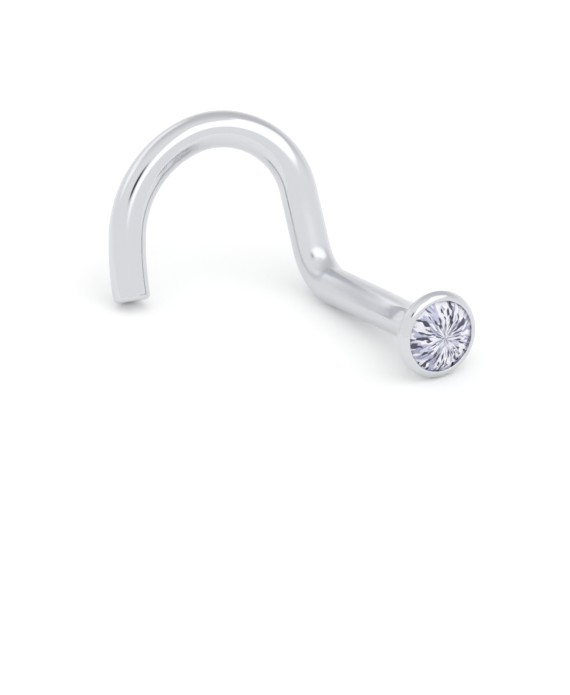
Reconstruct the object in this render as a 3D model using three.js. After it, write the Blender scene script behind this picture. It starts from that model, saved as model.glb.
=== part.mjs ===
// A nose stud of the screw kind: a small round stone set flush in a cup, a straight post behind the cup,
// a bend, and an open hook that holds the stud inside the nostril.
//
// Millimetres, +Z up. The stud lies as it would on a table, on three feet: the cut end of the hook, the
// underside of the bend and the edge of the cup. The origin is the centre of its base. +X runs along the
// table from the hook's end to the bend, and the stone looks towards -Y and a little to +X.
//
// The metal is one soldered solid: every cross-section of it, from the seat of the stone to the cut end of
// the wire, is a circle round one line. The stone is a solid of its own, with a small gap all round.

import * as THREE from 'three';

// Wire
const WIRE_D = 1.0;            // 18 gauge round wire
const POST_L = 4.93;           // straight wire, from the widest plane of the cup to the bend
const BEND_R = 1.3;            // radii are those of the wire's centre line
const BEND_TURN = 66.5;        // turns are in degrees
const RISER_L = 1.6;           // straight wire between the bend and the hook
const HOOK_TWIST = -111.4;     // from the plane of the bend to the plane of the hook, about the riser
const SHOULDER_R = 2.04;       // the hook opens out from a round shoulder to a nearly straight tail
const SHOULDER_TURN = 104.3;
const ARCH_R = 3.06;
const ARCH_TURN = 61.1;
const TAIL_R = 8.3;
const TAIL_TURN = 11.3;
const END_ROUND = 0.14;        // rounded edge of the cut end

// Stone, a round brilliant
const STONE_D = 2.0;
const TABLE_D = 1.14;
const GIRDLE_T = 0.04;
const CROWN_ANGLE = 34.5;
const PAVILION_ANGLE = 40.75;
const STAR_REACH = 0.5;        // shares of the way from the table's edge to the girdle
const LOWER_REACH = 0.77;      // and from the girdle to the culet
const STONE_SPIN = 8;          // how the facets are turned about the post, in degrees

// Cup
const SEAT_GAP = 0.03;         // clearance between stone and metal, at the girdle
const CUP_WALL = 0.155;        // metal outside the girdle
const GIRDLE_AHEAD = 0.09;     // the girdle's middle, in front of the cup's widest plane
const LIP_H = 0.225;           // crest of the lip, in front of the same plane
const LIP_HOLD = 0.045;        // how far the lip reaches in over the girdle
const LIP_ROLL = 0.055;        // from the lip's inner edge out to its crest
const LIP_CROWNING = 0.75;     // the lip's outer slope: 0.5 is a bevel, 1 a square corner
const RIM_ROUND = 0.12;        // rounding between the lip and the cone behind it
const NECK_L = 1.20;           // fillet from the cone to the post, along the post
const NECK_START = 0.70;       // share of the cone's depth at which that fillet starts

// Fineness of the mesh
const SIDES = 40;              // corners of each circle
const ARC_STEP = 6.2;          // the most degrees of a bend between two circles
const CURVE_STEPS = 6;         // steps of each small curve of the cup and of the cut end

const FACETS = 8;              // main facets round the stone
const WIRE_R = WIRE_D / 2;
const STONE_R = STONE_D / 2;
const SEAT_R = STONE_R + SEAT_GAP;
const RIM_R = SEAT_R + CUP_WALL;
const rad = THREE.MathUtils.degToRad;

// Depths are measured along the post from the cup's widest plane, positive towards the hook.
const GIRDLE_BACK = -GIRDLE_AHEAD + GIRDLE_T / 2;
const GIRDLE_FRONT = -GIRDLE_AHEAD - GIRDLE_T / 2;
const CULET = GIRDLE_BACK + STONE_R * Math.tan(rad(PAVILION_ANGLE));
const SEAT_TIP = CULET + 2 * SEAT_GAP;

// The cup's outline as a turner would draw it: x is the distance from the post's axis, y the depth.
// It runs from the bottom of the stone's seat, over the lip, down the outer cone and onto the post.
function cupOutline() {
  const lipInner = STONE_R - LIP_HOLD;
  const crest = lipInner + LIP_ROLL;
  const underLip = GIRDLE_FRONT - SEAT_GAP / 2;
  const lipFoot = new THREE.Vector2(lipInner, underLip - LIP_HOLD - SEAT_GAP / 2);
  const lipCorner = new THREE.Vector2(lipInner, -LIP_H);
  const lipCrest = new THREE.Vector2(crest, -LIP_H);
  const slopeReach = THREE.MathUtils.lerp(crest, RIM_R, LIP_CROWNING);
  const lipSlope = new THREE.Vector2(slopeReach, -LIP_H * LIP_CROWNING);
  const rim = new THREE.Vector2(RIM_R, 0);
  const coneStart = new THREE.Vector2(RIM_R, RIM_ROUND);
  const coneEnd = new THREE.Vector2(WIRE_R, SEAT_TIP);
  const coneAt = (share) => coneStart.clone().lerp(coneEnd, share);
  const rimEnd = coneAt(RIM_ROUND / SEAT_TIP);
  const filletStart = coneAt(NECK_START);
  return [
    new THREE.LineCurve(new THREE.Vector2(0, SEAT_TIP), new THREE.Vector2(SEAT_R, GIRDLE_BACK)),
    new THREE.LineCurve(new THREE.Vector2(SEAT_R, GIRDLE_BACK), new THREE.Vector2(SEAT_R, underLip)),
    new THREE.LineCurve(new THREE.Vector2(SEAT_R, underLip), lipFoot),
    new THREE.QuadraticBezierCurve(lipFoot, lipCorner, lipCrest),
    new THREE.QuadraticBezierCurve(lipCrest, lipSlope, rim),
    new THREE.QuadraticBezierCurve(rim, coneStart, rimEnd),
    new THREE.LineCurve(rimEnd, filletStart),
    new THREE.QuadraticBezierCurve(filletStart, coneEnd, new THREE.Vector2(WIRE_R, SEAT_TIP + NECK_L)),
  ];
}

// Points along a chain of curves, each shared end taken once.
function outlinePoints(curves) {
  const points = [curves[0].getPoint(0)];
  for (const curve of curves) {
    const steps = curve.isLineCurve ? 1 : CURVE_STEPS;
    points.push(...curve.getPoints(steps).slice(1));
  }
  return points;
}

// A frame stands on the wire's centre line: `along` points to the hook's end, `inward` to the centre of the
// bend that comes next, and `seam` marks the first corner of the circle there.
const firstFrame = () => ({
  at: new THREE.Vector3(0, 0, 0),
  along: new THREE.Vector3(0, 1, 0),
  inward: new THREE.Vector3(0, 0, 1),
  seam: new THREE.Vector3(0, 0, 1),
});

function moved(frame, distance) {
  return { ...frame, at: frame.at.clone().addScaledVector(frame.along, distance) };
}

function twisted(frame, degrees) {
  return { ...frame, inward: frame.inward.clone().applyAxisAngle(frame.along, rad(degrees)) };
}

function bent(frame, radius, degrees) {
  const centre = frame.at.clone().addScaledVector(frame.inward, radius);
  const axis = new THREE.Vector3().crossVectors(frame.along, frame.inward).normalize();
  const swing = (vector) => vector.clone().applyAxisAngle(axis, rad(degrees));
  return {
    at: centre.clone().add(swing(frame.at.clone().sub(centre))),
    along: swing(frame.along),
    inward: swing(frame.inward),
    seam: swing(frame.seam),
  };
}

// The bends, in the order in which they are made from the post to the hook's end.
const BENDS = [
  { foot: 'bend', radius: BEND_R, turn: BEND_TURN, straightAfter: RISER_L, twistAfter: HOOK_TWIST },
  { foot: null, radius: SHOULDER_R, turn: SHOULDER_TURN, straightAfter: 0, twistAfter: 0 },
  { foot: null, radius: ARCH_R, turn: ARCH_TURN, straightAfter: 0, twistAfter: 0 },
  { foot: null, radius: TAIL_R, turn: TAIL_TURN, straightAfter: 0, twistAfter: 0 },
];

// Every circle of the metal: its frame, its radius, and the foot that it belongs to, if any.
function metalCircles() {
  const circles = [];
  const start = firstFrame();
  for (const point of outlinePoints(cupOutline())) {
    const atRim = point.x > RIM_R - RIM_ROUND && point.y > -RIM_ROUND;
    circles.push({ frame: moved(start, point.y), radius: point.x, foot: atRim ? 'rim' : null });
  }
  let frame = moved(start, POST_L);
  circles.push({ frame, radius: WIRE_R, foot: 'bend' });
  for (const { foot, radius, turn, straightAfter, twistAfter } of BENDS) {
    const steps = Math.ceil(turn / ARC_STEP);
    for (let step = 0; step < steps; step++) {
      frame = bent(frame, radius, turn / steps);
      circles.push({ frame, radius: WIRE_R, foot });
    }
    if (straightAfter > 0) {
      frame = moved(frame, straightAfter);
      circles.push({ frame, radius: WIRE_R, foot: null });
    }
    frame = twisted(frame, twistAfter);
  }
  for (let step = 1; step <= CURVE_STEPS; step++) {
    const angle = (Math.PI / 2) * (step / CURVE_STEPS);
    const radius = WIRE_R - END_ROUND * (1 - Math.cos(angle));
    circles.push({ frame: moved(frame, END_ROUND * Math.sin(angle)), radius, foot: 'end' });
  }
  return circles;
}

function circleCorners({ frame, radius }) {
  const corners = [];
  for (let side = 0; side < SIDES; side++) {
    const spoke = frame.seam.clone().applyAxisAngle(frame.along, (2 * Math.PI * side) / SIDES);
    corners.push(frame.at.clone().addScaledVector(spoke, radius));
  }
  return corners;
}

// A closed mesh from corner points and faces, each face a list of corners seen anticlockwise from outside.
function solidGeometry(corners, faces) {
  const positions = [];
  for (const face of faces) {
    for (let k = 1; k < face.length - 1; k++) {
      for (const corner of [face[0], face[k], face[k + 1]]) {
        positions.push(corners[corner].x, corners[corner].y, corners[corner].z);
      }
    }
  }
  const geometry = new THREE.BufferGeometry();
  geometry.setAttribute('position', new THREE.Float32BufferAttribute(positions, 3));
  geometry.computeVertexNormals();
  return geometry;
}

// The skin over all the circles, from a point, the bottom of the seat, to the flat end of the wire.
function metalGeometry(circles) {
  const corners = [circles[0].frame.at];
  const rings = circles.slice(1);
  for (const ring of rings) {
    corners.push(...circleCorners(ring));
  }
  const corner = (ring, side) => 1 + ring * SIDES + (side % SIDES);
  const faces = [];
  for (let side = 0; side < SIDES; side++) {
    faces.push([0, corner(0, side + 1), corner(0, side)]);
    for (let ring = 0; ring < rings.length - 1; ring++) {
      faces.push([
        corner(ring, side), corner(ring, side + 1), corner(ring + 1, side + 1), corner(ring + 1, side),
      ]);
    }
  }
  const last = rings.length - 1;
  faces.push([...Array(SIDES).keys()].map((side) => corner(last, side)));
  return solidGeometry(corners, faces);
}

// A round brilliant about the post's axis: table, stars, kites and upper halves in front of the girdle,
// lower halves and mains behind it. The kites and mains stay flat because the star and lower points lie
// where two neighbouring planes cross.
function stoneGeometry() {
  const step = (2 * Math.PI) / FACETS;
  const half = Math.cos(step / 2);
  const crown = Math.tan(rad(CROWN_ANGLE));
  const pavilion = Math.tan(rad(PAVILION_ANGLE));
  const tableR = TABLE_D / 2;
  const starR = THREE.MathUtils.lerp(tableR * half, STONE_R, STAR_REACH);
  const lowerR = STONE_R * (1 - LOWER_REACH);
  const corners = [];
  const point = (radius, turns, depth) => {
    const angle = turns * step + rad(STONE_SPIN);
    corners.push(new THREE.Vector3(radius * Math.cos(angle), depth, radius * Math.sin(angle)));
    return corners.length - 1;
  };
  const around = (count, make) => [...Array(count).keys()].map(make);
  const crownDepth = (reach) => GIRDLE_FRONT - (STONE_R - reach) * crown;
  const table = around(FACETS, (i) => point(tableR, i, crownDepth(tableR)));
  const stars = around(FACETS, (i) => point(starR, i + 0.5, crownDepth(starR * half)));
  const front = around(2 * FACETS, (i) => point(STONE_R, i / 2, GIRDLE_FRONT));
  const back = around(2 * FACETS, (i) => point(STONE_R, i / 2, GIRDLE_BACK));
  const lowers = around(FACETS, (i) => point(lowerR, i + 0.5, CULET - lowerR * half * pavilion));
  const culet = point(0, 0, CULET);

  const faces = [[...table]];
  for (let i = 0; i < FACETS; i++) {
    const next = (i + 1) % FACETS;
    const before = (i + FACETS - 1) % FACETS;
    const middle = 2 * i + 1;
    const ahead = (2 * i + 2) % (2 * FACETS);
    faces.push([table[i], stars[i], table[next]]);
    faces.push([table[i], stars[before], front[2 * i], stars[i]]);
    faces.push([stars[i], front[2 * i], front[middle]]);
    faces.push([stars[i], front[middle], front[ahead]]);
    faces.push([front[2 * i], back[2 * i], back[middle], front[middle]]);
    faces.push([front[middle], back[middle], back[ahead], front[ahead]]);
    faces.push([lowers[i], back[middle], back[2 * i]]);
    faces.push([lowers[i], back[ahead], back[middle]]);
    faces.push([culet, lowers[i], back[2 * i], lowers[before]]);
  }
  return solidGeometry(corners, faces);
}

// The three points that touch a table whose upward direction is `up`: the lowest corner of each foot.
function touchingPoints(circles, up) {
  const lowest = {};
  for (const circle of circles) {
    if (circle.foot === null) continue;
    for (const corner of circleCorners(circle)) {
      const height = corner.dot(up);
      if (!lowest[circle.foot] || height < lowest[circle.foot].height) {
        lowest[circle.foot] = { corner, height };
      }
    }
  }
  return [lowest.end.corner, lowest.bend.corner, lowest.rim.corner];
}

function upFrom([end, bend, rim], above) {
  const up = bend.clone().sub(end).cross(rim.clone().sub(bend)).normalize();
  return up.dot(above.clone().sub(bend)) < 0 ? up.negate() : up;
}

// How the stud lies by itself. The first guess is the plane through three points of the centre line. Then
// the three lowest points give a better plane, over and over, until it stays.
function restingTurn(circles) {
  const onBend = circles.filter((circle) => circle.foot === 'bend');
  const wire = circles.slice(circles.indexOf(onBend[0]));
  const onArch = Math.floor((wire.length * 2) / 3);
  const above = wire[onArch].frame.at;
  const middle = onBend[Math.floor(onBend.length / 2)].frame.at;
  let feet = [circles[circles.length - 1].frame.at, middle, circles[0].frame.at];
  const rounds = 12;
  for (let round = 0; round < rounds; round++) {
    feet = touchingPoints(circles, upFrom(feet, above));
  }
  const up = upFrom(feet, above);
  const across = feet[1].clone().sub(feet[0]).normalize();
  const away = new THREE.Vector3().crossVectors(up, across);
  const axes = new THREE.Matrix4().makeBasis(across, away, up);
  return new THREE.Quaternion().setFromRotationMatrix(axes).invert();
}

const polishedMetal = new THREE.MeshStandardMaterial({ color: 0xdcdee4, metalness: 1.0, roughness: 0.1 });
const clearStone = new THREE.MeshStandardMaterial({ color: 0xeef0fb, metalness: 0.0, roughness: 0.02 });
clearStone.flatShading = true;

const circles = metalCircles();

const cupPostAndHook = new THREE.Mesh(metalGeometry(circles), polishedMetal);
cupPostAndHook.name = 'cup_post_and_hook';

const stone = new THREE.Mesh(stoneGeometry(), clearStone);
stone.name = 'stone';

const stud = new THREE.Group();
stud.add(cupPostAndHook, stone);
stud.quaternion.copy(restingTurn(circles));

const group = new THREE.Group();
group.add(stud);
group.updateMatrixWorld(true);
const bounds = new THREE.Box3().setFromObject(group, true);
const middle = bounds.getCenter(new THREE.Vector3());
stud.position.set(-middle.x, -middle.y, -bounds.min.z);

export default group;
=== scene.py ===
# %% [markdown]
# # A nose stud on a white table
#
# The stud is one bent wire with a small cup soldered to its front and a round stone set in the cup. The
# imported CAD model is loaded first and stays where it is. Every size below is in millimetres, as a jeweller
# would write it, and `mm` turns it into Blender's metres.

# %% Load the fixed model
import math

import bmesh
import bpy
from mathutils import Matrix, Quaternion, Vector


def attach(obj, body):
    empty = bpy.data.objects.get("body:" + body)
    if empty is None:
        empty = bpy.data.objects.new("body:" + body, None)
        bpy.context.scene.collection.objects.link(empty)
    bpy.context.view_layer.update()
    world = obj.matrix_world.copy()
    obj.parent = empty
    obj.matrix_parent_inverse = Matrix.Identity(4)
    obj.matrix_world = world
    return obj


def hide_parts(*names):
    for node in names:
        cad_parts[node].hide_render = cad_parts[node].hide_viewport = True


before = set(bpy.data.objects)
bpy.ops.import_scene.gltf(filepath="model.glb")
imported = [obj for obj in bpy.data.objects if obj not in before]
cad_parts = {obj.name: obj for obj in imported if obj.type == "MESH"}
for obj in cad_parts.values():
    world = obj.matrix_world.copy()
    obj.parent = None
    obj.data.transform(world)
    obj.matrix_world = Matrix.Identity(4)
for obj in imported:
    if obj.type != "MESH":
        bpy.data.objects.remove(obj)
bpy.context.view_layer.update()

mm = 0.001

# %% [markdown]
# ## The camera
#
# A small jewel is photographed from close by with a long lens, so its near and far ends look the same
# size. The camera looks down at 27 degrees. A very long lens far away gives the same flat perspective.
# The picture is 18.3 mm high where the stud lies.

# %% Camera
PICTURE = (570, 695)
PIXELS_PER_MM = 38.0
AZIMUTH = math.radians(0.25)
ELEVATION = math.radians(26.75)
LENS = 1000.0
SENSOR = 36.0
CUP_FRONT = Vector((3.83923, -3.14723, 1.17359))
CUP_FRONT_PIXEL = (436.8, 334.3)

ahead = Vector((
    -math.sin(AZIMUTH) * math.cos(ELEVATION),
    math.cos(AZIMUTH) * math.cos(ELEVATION),
    -math.sin(ELEVATION),
))
right = Vector((math.cos(AZIMUTH), math.sin(AZIMUTH), 0))
above = right.cross(ahead)
off_centre = (CUP_FRONT_PIXEL[0] - PICTURE[0] / 2, PICTURE[1] / 2 - CUP_FRONT_PIXEL[1])
aim = CUP_FRONT - right * off_centre[0] / PIXELS_PER_MM - above * off_centre[1] / PIXELS_PER_MM
distance = LENS / SENSOR * PICTURE[1] / PIXELS_PER_MM

camera = bpy.data.objects.new("camera", bpy.data.cameras.new("camera"))
bpy.context.scene.collection.objects.link(camera)
camera.data.lens = LENS
camera.data.sensor_width = SENSOR
camera.data.clip_start = 0.01
camera.data.clip_end = 2.0
camera.location = (aim - ahead * distance) * mm
camera.rotation_mode = "QUATERNION"
camera.rotation_quaternion = ahead.to_track_quat("-Z", "Y")
bpy.context.scene.camera = camera
print("camera", round(distance), "mm from the stud")

# %% [markdown]
# ## Shader maths as Python
#
# A finish is a small tree of nodes. `Field` wraps the output of a node, so that a sum on the page becomes
# Math nodes in the tree. `Finish.node` adds any other node: its settings first, then its sockets.


# %% Node helpers
class Field:
    """A value that changes over a surface."""

    def __init__(self, finish, socket):
        self.finish = finish
        self.socket = socket

    def maths(self, operation, first, second):
        return self.finish.node("ShaderNodeMath", {"operation": operation}, {0: first, 1: second})

    def __add__(self, other):
        return self.maths("ADD", self, other)

    def __sub__(self, other):
        return self.maths("SUBTRACT", self, other)

    def __rsub__(self, other):
        return self.maths("SUBTRACT", other, self)

    def __mul__(self, other):
        return self.maths("MULTIPLY", self, other)

    __radd__ = __add__
    __rmul__ = __mul__


class Finish:
    """One material and the nodes that make it."""

    def __init__(self, name):
        self.material = bpy.data.materials.new(name)
        self.material.use_nodes = True
        self.tree = self.material.node_tree
        self.surface = self.tree.nodes["Principled BSDF"]

    def node(self, kind, settings, sockets, output=0):
        """Add a node, set it up, fill its sockets, and give one of its outputs back."""
        node = self.tree.nodes.new(kind)
        for name, value in settings.items():
            setattr(node, name, value)
        for name, value in sockets.items():
            self.put(node.inputs[name], value)
        return Field(self, node.outputs[output])

    def put(self, socket, value):
        """Link a field to a socket, or set a plain value on it."""
        if isinstance(value, Field):
            self.tree.links.new(value.socket, socket)
        else:
            socket.default_value = value

    def blend(self, share, first, second):
        """A colour between two, by a share from 0 to 1. Sockets 6, 7 and 2 are a Mix node's colours."""
        return self.node("ShaderNodeMix", {"data_type": "RGBA"}, {0: share, 6: first, 7: second}, 2)

    def vectors(self, operation, first, second, output="Vector"):
        settings = {"operation": operation}
        return self.node("ShaderNodeVectorMath", settings, {0: first, 1: second}, output)

    def step(self, value, low, high):
        """0 below low, 1 above high, and a soft slope between them."""
        settings = {"interpolation_type": "SMOOTHSTEP"}
        sockets = {"Value": value, "From Min": low, "From Max": high}
        return self.node("ShaderNodeMapRange", settings, sockets)

    def place(self):
        return self.node("ShaderNodeTexCoord", {}, {}, "Object")

    def noise(self, size, detail=2.0):
        """Soft clouds of about this size in millimetres."""
        sockets = {"Vector": self.place(), "Scale": 1 / (size * mm), "Detail": detail}
        return self.node("ShaderNodeTexNoise", {}, sockets, "Fac")


# %% [markdown]
# ## The metal, cup and wire in one skin
#
# The cup is soldered to the wire and the joint is polished away, so the metal is one body. Everything
# about it is round: each cross-section, from the bottom of the stone's seat to the cut end of the wire, is
# a circle on one line. It could be a curve with a bevel, but the cup's lip needs its own outline, so the
# circles are made one by one, as in the CAD model, only closer together for clean reflections.
#
# The cup comes first. Depths are measured from its widest plane, positive towards the hook.

# %% Sizes of the cup
WIRE_R = 0.5
STONE_R = 1.0
SEAT_GAP = 0.03
CUP_WALL = 0.155
GIRDLE_FRONT = -0.11
GIRDLE_BACK = -0.07
PAVILION_ANGLE = 40.75
LIP_H = 0.225
LIP_HOLD = 0.045
LIP_ROLL = 0.055
LIP_CROWNING = 0.75
RIM_ROUND = 0.12
NECK_L = 1.20
NECK_START = 0.70
CURVE_STEPS = 14

SEAT_R = STONE_R + SEAT_GAP
RIM_R = SEAT_R + CUP_WALL
SEAT_TIP = GIRDLE_BACK + STONE_R * math.tan(math.radians(PAVILION_ANGLE)) + 2 * SEAT_GAP
print("cup:", round(2 * RIM_R, 2), "mm across, its seat", round(SEAT_TIP, 2), "mm deep")


# %% The cup's outline
def eased(a, b, c):
    """Points on a soft corner from a to c that turns towards b."""
    points = []
    for step in range(1, CURVE_STEPS + 1):
        t = step / CURVE_STEPS
        points.append(a * (1 - t) ** 2 + b * (2 * t * (1 - t)) + c * t ** 2)
    return points


def cup_outline():
    """Distance from the axis and depth, from the bottom of the seat, over the lip, to the post."""
    lip_inner = STONE_R - LIP_HOLD
    under_lip = GIRDLE_FRONT - SEAT_GAP / 2
    lip_foot = Vector((lip_inner, under_lip - LIP_HOLD - SEAT_GAP / 2))
    lip_corner = Vector((lip_inner, -LIP_H))
    crest = Vector((lip_inner + LIP_ROLL, -LIP_H))
    slope = Vector((crest.x + (RIM_R - crest.x) * LIP_CROWNING, -LIP_H * LIP_CROWNING))
    rim = Vector((RIM_R, 0))
    cone_start = Vector((RIM_R, RIM_ROUND))
    cone_end = Vector((WIRE_R, SEAT_TIP))
    rim_end = cone_start.lerp(cone_end, RIM_ROUND / SEAT_TIP)
    fillet = cone_start.lerp(cone_end, NECK_START)
    points = [Vector((0, SEAT_TIP)), Vector((SEAT_R, GIRDLE_BACK)), Vector((SEAT_R, under_lip)), lip_foot]
    points += eased(lip_foot, lip_corner, crest)
    points += eased(crest, slope, rim)
    points += eased(rim, cone_start, rim_end)
    points.append(fillet)
    points += eased(fillet, cone_end, Vector((WIRE_R, SEAT_TIP + NECK_L)))
    return points


print("the cup's outline:", len(cup_outline()), "points")

# %% [markdown]
# ## The wire's centre line
#
# The wire is bent on round formers: one bend behind the post, then the hook, which opens from a round
# shoulder to a nearly straight tail. Each bend is a circle's arc, and between the first two the wire is
# turned about itself. A curve object would bend as well, but its twist is hard to hold. Walking along the
# wire with a direction and a centre gives every circle in order, with its twist.

# %% Sizes of the wire
POST_L = 4.93
BENDS = [
    # radius, turn, straight after, twist after
    (1.30, 66.5, 1.60, -111.4),
    (2.04, 104.3, 0, 0),
    (3.06, 61.1, 0, 0),
    (8.30, 11.3, 0, 0),
]
END_ROUND = 0.14
END_STEPS = 8
ARC_STEP = 2.0
STRAIGHT_STEP = 0.1
bent = sum(math.radians(turn) * radius + straight for radius, turn, straight, _ in BENDS)
print("wire:", round(POST_L + bent, 1), "mm long")


# %% The centre line and its circles
def straight_run(circles, at, along, seam, length):
    """Circles along a straight piece of wire, and where it ends."""
    steps = math.ceil(length / STRAIGHT_STEP)
    for _ in range(steps):
        at = at + along * length / steps
        circles.append((at.copy(), along.copy(), seam.copy(), WIRE_R))
    return at


def metal_circles():
    """(centre, direction, seam direction, radius) of every circle, in order."""
    along, inward, seam = Vector((0, 1, 0)), Vector((0, 0, 1)), Vector((0, 0, 1))
    outline = cup_outline()
    circles = [(along * point.y, along.copy(), seam.copy(), point.x) for point in outline]
    at = along * outline[-1].y
    at = straight_run(circles, at, along, seam, POST_L - at.y)
    for radius, turn, straight, twist in BENDS:
        steps = math.ceil(turn / ARC_STEP)
        for _ in range(steps):
            swing = Quaternion(along.cross(inward).normalized(), math.radians(turn / steps))
            centre = at + inward * radius
            at = centre + swing @ (at - centre)
            along, inward, seam = swing @ along, swing @ inward, swing @ seam
            circles.append((at.copy(), along.copy(), seam.copy(), WIRE_R))
        at = straight_run(circles, at, along, seam, straight)
        inward = Quaternion(along, math.radians(twist)) @ inward
    for step in range(1, END_STEPS + 1):
        angle = math.pi / 2 * step / END_STEPS
        radius = WIRE_R - END_ROUND * (1 - math.cos(angle))
        circles.append((at + along * END_ROUND * math.sin(angle), along.copy(), seam.copy(), radius))
    return circles


circles = metal_circles()
print(len(circles), "circles on the centre line")

# %% [markdown]
# ## Skin the circles
#
# Each circle becomes a ring of corners, and each ring is joined to the next. Then the whole stud is turned
# and set down as it lies on the table, on the hook's end, the underside of the bend and the cup's edge. A
# subdivision surface would round the crisp end of the wire, so the rings are simply close enough. Edges
# sharper than 28 degrees stay sharp.

# %% The skin
LIES_TURNED = Quaternion((0.956606161, -0.075273842, 0.016637828, 0.281001216))
SIDES = 96
SHARP_FROM = 28


def skinned(name, circles):
    """A closed mesh round the circles, turned and set down as the stud lies."""
    mesh = bmesh.new()
    tip = mesh.verts.new(LIES_TURNED @ circles[0][0])
    rings = []
    for at, along, seam, radius in circles[1:]:
        ring = []
        for side in range(SIDES):
            spoke = Quaternion(along, 2 * math.pi * side / SIDES) @ seam
            ring.append(mesh.verts.new(LIES_TURNED @ (at + spoke * radius)))
        rings.append(ring)
    for side in range(SIDES):
        after = (side + 1) % SIDES
        mesh.faces.new([tip, rings[0][after], rings[0][side]])
        for here, there in zip(rings, rings[1:]):
            mesh.faces.new([here[side], here[after], there[after], there[side]])
    mesh.faces.new(rings[-1])
    for vertex in mesh.verts:
        vertex.co = (vertex.co + CUP_FRONT) * mm
    data = bpy.data.meshes.new(name)
    mesh.to_mesh(data)
    mesh.free()
    for face in data.polygons:
        face.use_smooth = True
    data.set_sharp_from_angle(angle=math.radians(SHARP_FROM))
    piece = bpy.data.objects.new(name, data)
    bpy.context.scene.collection.objects.link(piece)
    return piece


polished = skinned("polished_cup_post_and_hook", circles)
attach(polished, "root")
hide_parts("cup_post_and_hook")
print("metal:", len(polished.data.polygons), "faces")

# %% [markdown]
# ## Polished metal
#
# White precious metal, polished to a mirror on a felt wheel. A wheel never leaves a perfect mirror: the
# surface keeps shallow waves about as wide as the wire, and a haze of very fine marks. So the colour is
# nearly even, the roughness wanders a little, and a very low bump bends the reflections.
#
# The post and the bend get less of the wheel than the arch, so they are a little softer. A painted mask
# would do that too, but the distance from one point on the post needs no painting.

# %% Polished metal
WAVE_SIZE = 0.9
HAZE_SIZE = 0.12
SILVER_DARK = (0.652, 0.662, 0.69, 1)
SILVER_LIGHT = (0.672, 0.68, 0.70, 1)
SOFT_AT = Vector((0, 4.5, 0))
SOFT_WITHIN = 1.9
SOFT_UNTIL = 3.1
SMOOTHEST = 0.07
HAZE_SHARE = 0.05
SOFT_SHARE = 0.15
RIPPLE_SHARE = 0.25
RIPPLE_DEPTH = 0.01

metal = Finish("polished_metal")
waves = metal.noise(WAVE_SIZE, detail=1.0)
haze = metal.noise(HAZE_SIZE, detail=3.0)
soft_middle = (LIES_TURNED @ SOFT_AT + CUP_FRONT) * mm
from_soft = metal.vectors("DISTANCE", metal.place(), soft_middle, "Value") * (1 / mm)
soft = 1 - metal.step(from_soft, SOFT_WITHIN, SOFT_UNTIL)
low_bump = {"Strength": RIPPLE_SHARE, "Distance": RIPPLE_DEPTH * mm, "Height": waves}
ripple = metal.node("ShaderNodeBump", {}, low_bump)
metal.put(metal.surface.inputs["Base Color"], metal.blend(waves, SILVER_DARK, SILVER_LIGHT))
metal.put(metal.surface.inputs["Metallic"], 1.0)
metal.put(metal.surface.inputs["Roughness"], SMOOTHEST + haze * HAZE_SHARE + soft * SOFT_SHARE)
metal.put(metal.surface.inputs["Normal"], ripple)
polished.data.materials.append(metal.material)
print("polished metal:", len(metal.tree.nodes), "nodes")

# %% [markdown]
# ## Clear stone
#
# A cut stone shows a star: light that comes in at the front bounces off the long facets behind and leaves
# again, so some of them flash white, some are lavender grey and a few are nearly black. Glass shading alone
# could do that, but under an even white tent it shows one large grey patch instead. So this finish paints
# the star's flashes and dark reflections into the stone's colour: painted reflections in cells that are long
# towards the middle, coloured by chance, over a half clear body.
#
# A place on the stone's face is taken as a ray from the middle and a reach along it. A ray stays the same
# all the way in, so the cells narrow to points at the middle, as the long facets do.

# %% Place on the stone's face
clear = Finish("clear_stone")
across = LIES_TURNED @ Vector((1, 0, 0))
upward = LIES_TURNED @ Vector((0, 0, 1))
off_middle = clear.vectors("SUBTRACT", clear.place(), CUP_FRONT * mm)
sideways = clear.vectors("DOT_PRODUCT", off_middle, across / mm, "Value")
upways = clear.vectors("DOT_PRODUCT", off_middle, upward / mm, "Value")
on_face = clear.node("ShaderNodeCombineXYZ", {}, {0: sideways, 1: upways})
reach = clear.vectors("DISTANCE", on_face, (0, 0, 0), "Value")
ray = clear.vectors("NORMALIZE", on_face, (0, 0, 0))
print("place on the stone:", len(clear.tree.nodes), "nodes")


# %% The star of painted reflections
def star(rays, breaks, channel):
    """A number from 0 to 1 for each long facet of a star that is cut across by rings."""
    ring = clear.node("ShaderNodeCombineXYZ", {}, {2: reach * breaks})
    spot = clear.vectors("ADD", clear.vectors("MULTIPLY", ray, (rays, rays, 0)), ring)
    facet = clear.node("ShaderNodeTexVoronoi", {}, {"Vector": spot, "Scale": 1.0}, "Color")
    return clear.node("ShaderNodeSeparateColor", {}, {0: facet}, channel)


PAINTED_FLASH_WHITES = (0.93, 0.95, 1.0, 1), (1.0, 0.98, 1.0, 1)
PAINTED_REFLECTION_GREYS = (0.30, 0.31, 0.45, 1), (0.66, 0.68, 0.84, 1)
PAINTED_DARK_REFLECTION = (0.02, 0.018, 0.045, 1)
GREY_BELOW = (0.43, 0.47)
BLACK_BELOW = (0.20, 0.24)

# Painted reflections: white flashes, lavender greys and nearly black facets stand in for the tent mirrored
# in the facets.
bright = clear.blend(star(rays=5.0, breaks=3.0, channel="Green"), *PAINTED_FLASH_WHITES)
grey = clear.blend(star(rays=9.0, breaks=3.0, channel="Red"), *PAINTED_REFLECTION_GREYS)
is_painted_flash = clear.step(star(rays=8.0, breaks=4.0, channel="Red"), *GREY_BELOW)
not_painted_dark = clear.step(star(rays=11.0, breaks=6.0, channel="Blue"), *BLACK_BELOW)
painted_facet_reflections = clear.blend(not_painted_dark, PAINTED_DARK_REFLECTION, clear.blend(is_painted_flash, grey, bright))
print("star:", len(clear.tree.nodes), "nodes")

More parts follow.
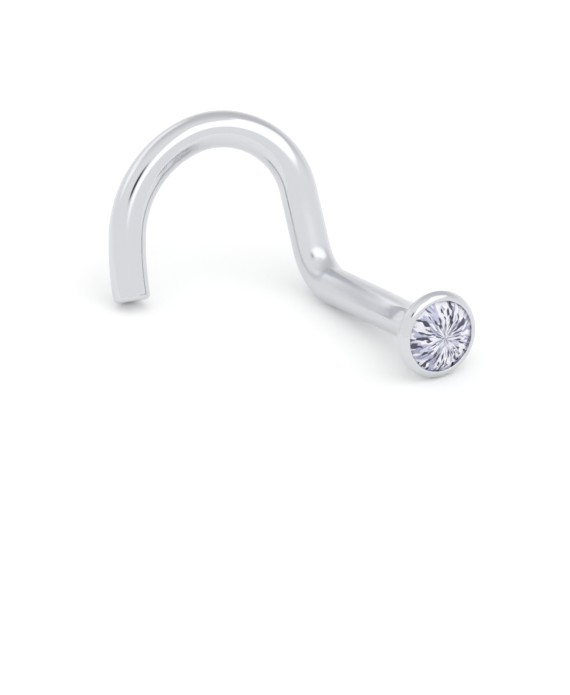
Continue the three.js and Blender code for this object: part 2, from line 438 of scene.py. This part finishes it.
# %% [markdown]
# ## The stone
#
# The stone in the CAD model has every facet of a round brilliant, so it stays and only gets its finish. A
# new mesh would have to repeat them. Its faces are shaded flat: a facet is a plane, and soft shading would
# melt it. A little glow in the painted star's colours stands in for the light that comes back from inside,
# so the painted reflections glow as well. The refractive index is lower than a real stone's, which keeps the
# white tent's own mirror image on the facets weaker.

# %% The stone's finish
PAINTED_STONE_GLOW = 0.12
STONE_HAZE = 0.01
STONE_CLOUDS = 0.5
STONE_REFRACTION = 1.7
STONE_CLEARNESS = 0.45

# The painted reflections are the stone's colour and also its glow.
clear.put(clear.surface.inputs["Base Color"], painted_facet_reflections)
clear.put(clear.surface.inputs["Emission Color"], painted_facet_reflections)
# Painted light: the stone glows by this much though it is no lamp.
clear.put(clear.surface.inputs["Emission Strength"], PAINTED_STONE_GLOW)
clear.put(clear.surface.inputs["Roughness"], clear.noise(STONE_CLOUDS) * STONE_HAZE)
clear.put(clear.surface.inputs["IOR"], STONE_REFRACTION)
clear.put(clear.surface.inputs["Transmission Weight"], STONE_CLEARNESS)
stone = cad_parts["stone"]
stone.data.materials.clear()
stone.data.materials.append(clear.material)
for face in stone.data.polygons:
    face.use_smooth = False
print("stone:", len(stone.data.polygons), "triangles")

# %% [markdown]
# ## The table
#
# A sheet of white paper, lit until it is almost blank. Only the places that the stud shades stay grey. A
# faint glow of its own lifts it the last bit, as a lit table under the paper would. A curved backdrop is
# the other usual way, but the camera looks down, so one large flat sheet fills the view.

# %% The sheet
SHEET_SIZE = 1500
PAPER_DARK = (0.955, 0.953, 0.945, 1)
PAPER_LIGHT = (0.965, 0.963, 0.955, 1)
PAPER_CLOUDS = 3.0
PAPER_ROUGHNESS = 0.9
PAPER_GLOW = 0.08


def flat_sheet(name, size):
    """A square sheet that the stud lies on."""
    mesh = bpy.data.meshes.new(name)
    half = size * mm / 2
    corners = [(-half, -half, 0), (half, -half, 0), (half, half, 0), (-half, half, 0)]
    mesh.from_pydata(corners, [], [(0, 1, 2, 3)])
    sheet = bpy.data.objects.new(name, mesh)
    bpy.context.scene.collection.objects.link(sheet)
    return sheet


paper = Finish("white_paper")
clouds = paper.noise(PAPER_CLOUDS)
paper.put(paper.surface.inputs["Base Color"], paper.blend(clouds, PAPER_DARK, PAPER_LIGHT))
paper.put(paper.surface.inputs["Roughness"], PAPER_ROUGHNESS)
paper.put(paper.surface.inputs["Specular IOR Level"], 0.0)
paper.put(paper.surface.inputs["Emission Color"], (1, 1, 1, 1))
paper.put(paper.surface.inputs["Emission Strength"], PAPER_GLOW)
table = flat_sheet("table", SHEET_SIZE)
table.data.materials.append(paper.material)
print("table:", SHEET_SIZE, "mm wide")

# %% [markdown]
# ## The tent
#
# Polished metal shows whatever stands round it, so jewellery is photographed in a white tent. Lamps of
# Blender's own would leave the rest of the reflections black. The world is the tent instead: a brightness
# for each direction, by its bearing from the camera's side and its height above the table, in degrees. It
# has a large soft key light at the right, a smaller one behind at the left, a dimmer wall behind and one
# small dark opening at the front left.


# %% The tent as a world
class Tent(Finish):
    """The white tent round the table: how bright it is in each direction."""

    def __init__(self, name):
        self.world = bpy.data.worlds.new(name)
        self.world.use_nodes = True
        self.tree = self.world.node_tree
        self.surface = self.tree.nodes["Background"]
        bpy.context.scene.world = self.world
        direction = self.node("ShaderNodeTexCoord", {}, {}, "Generated")
        x, self.y, z = (self.node("ShaderNodeSeparateXYZ", {}, {0: direction}, axis) for axis in "XYZ")
        self.height = self.maths("ARCSINE", z) * (180 / math.pi)
        self.bearing = self.maths("ARCTAN2", x, self.y * -1) * (180 / math.pi)

    def maths(self, operation, *values):
        return self.node("ShaderNodeMath", {"operation": operation}, dict(enumerate(values)))

    def window(self, value, between, edge):
        """1 between two values and 0 outside, with soft edges."""
        low, high = between
        opens = self.step(value, low - edge, low + edge)
        return opens * (1 - self.step(value, high - edge, high + edge))

    def patch(self, bearings, heights, edges):
        """1 inside a patch of the tent, between two bearings and two heights."""
        across, up = edges
        return self.window(self.bearing, bearings, across) * self.window(self.height, heights, up)


tent = Tent("tent")
print("tent:", len(tent.tree.nodes), "nodes for bearing and height")

# %% Light
KEY_BEARING = (-9, 119)
KEY_HEIGHT = (39, 74)
KEY_EDGES = (5, 3)
KEY_LIGHT = 0.55
SIDE_BEARING = (-158, -98)
SIDE_HEIGHT = (22, 42)
SIDE_EDGES = (9, 7)
SIDE_LIGHT = 0.5
WALL_LIGHT = 1.04
WALL_BEHIND_FROM = (-0.2, 0.6)
WALL_BEHIND_RISES = (8, 36)
WALL_BEHIND_DIMMED = 0.30
OPENING_AT = (-27, 50)
OPENING_REACH = (9.5, 6.5)
OPENING_EDGE = (0.5, 1.4)
OPENING_DARKENS = 0.97
TENT_WHITE = (0.985, 0.99, 1.0, 1)
MAP_WIDTH = 512

behind = tent.step(tent.y, *WALL_BEHIND_FROM) * tent.step(tent.height, *WALL_BEHIND_RISES)
wall = WALL_LIGHT - behind * WALL_BEHIND_DIMMED
key = tent.patch(KEY_BEARING, KEY_HEIGHT, KEY_EDGES)
side = tent.patch(SIDE_BEARING, SIDE_HEIGHT, SIDE_EDGES)
opening_across = (tent.bearing - OPENING_AT[0]) * (1 / OPENING_REACH[0])
opening_up = (tent.height - OPENING_AT[1]) * (1 / OPENING_REACH[1])
from_opening = opening_across * opening_across + opening_up * opening_up
opening = 1 - tent.step(from_opening, *OPENING_EDGE)
glow = (wall + key * KEY_LIGHT + side * SIDE_LIGHT) * (1 - opening * OPENING_DARKENS)
tent.put(tent.surface.inputs["Color"], TENT_WHITE)
tent.put(tent.surface.inputs["Strength"], glow)
tent.world.cycles.sampling_method = "MANUAL"
tent.world.cycles.sample_map_resolution = MAP_WIDTH
bpy.context.scene.view_settings.view_transform = "Standard"
print("light:", len(tent.tree.nodes), "nodes")
